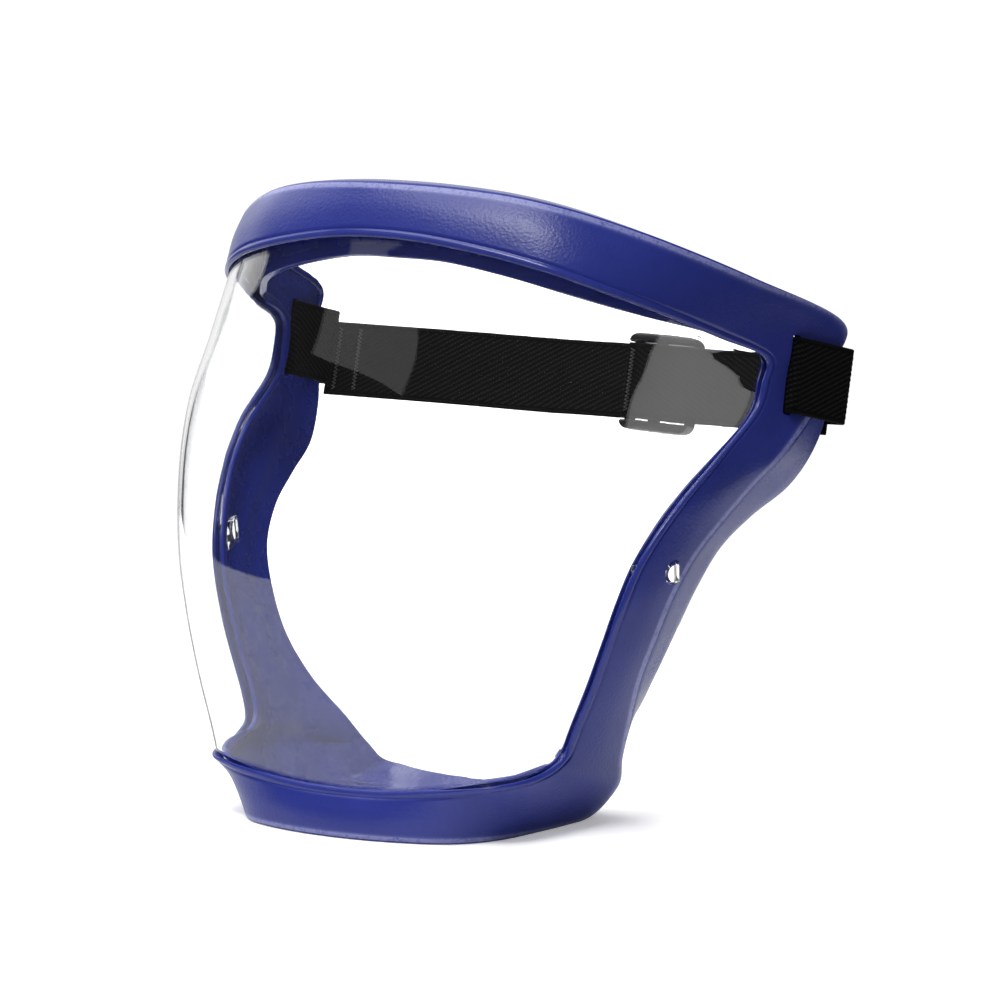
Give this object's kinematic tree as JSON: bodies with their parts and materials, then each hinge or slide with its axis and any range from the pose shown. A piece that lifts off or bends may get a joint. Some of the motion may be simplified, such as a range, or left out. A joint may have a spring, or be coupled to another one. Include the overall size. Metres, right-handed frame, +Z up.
{
  "type": "face shield",
  "caption": "Full-face safety shield: moulded ring frame with brow band and chin cup, curved clear visor, elastic head strap with a sliding adjuster.",
  "frame": {"origin": "centre of the overall box in plan, on the plane the chin rests on", "axes": "+Z up, the face looks along -Y, +X towards the wearer's left temple"},
  "size_m": [0.207, 0.1469, 0.2],
  "materials": {
    "frame_plastic": "royal blue moulded plastic, fine grain on the band, polished bead",
    "clear_visor": "clear polycarbonate, polished both sides",
    "webbing": "black woven elastic with a fine twill rib",
    "thread": "black polyester thread",
    "slider_plastic": "black moulded plastic, satin"
  },
  "bodies": {
    "frame": {"face_frame": "frame_plastic", "visor": "clear_visor", "strap_loop_left": "webbing", "strap_loop_right": "webbing", "strap_end_left": "webbing", "strap_end_right": "webbing", "loop_stitching": "thread"},
    "strap": {"strap_span": "webbing", "strap_tail": "webbing", "tail_stitching": "thread"},
    "slider": {"strap_slider": "slider_plastic"}
  },
  "joints": [
    {"name": "strap_stretch", "type": "slide", "parent": "frame", "child": "strap", "axis": [0, 0.9703, -0.2419], "range_m": [0, 0.04], "stiffness_N_per_m": 200, "deforming": ["strap_end_left", "strap_end_right"]},
    {"name": "slider_slide", "type": "slide", "parent": "strap", "child": "slider", "axis": [1, 0, 0], "range_m": [0, 0.017]}
  ]
}
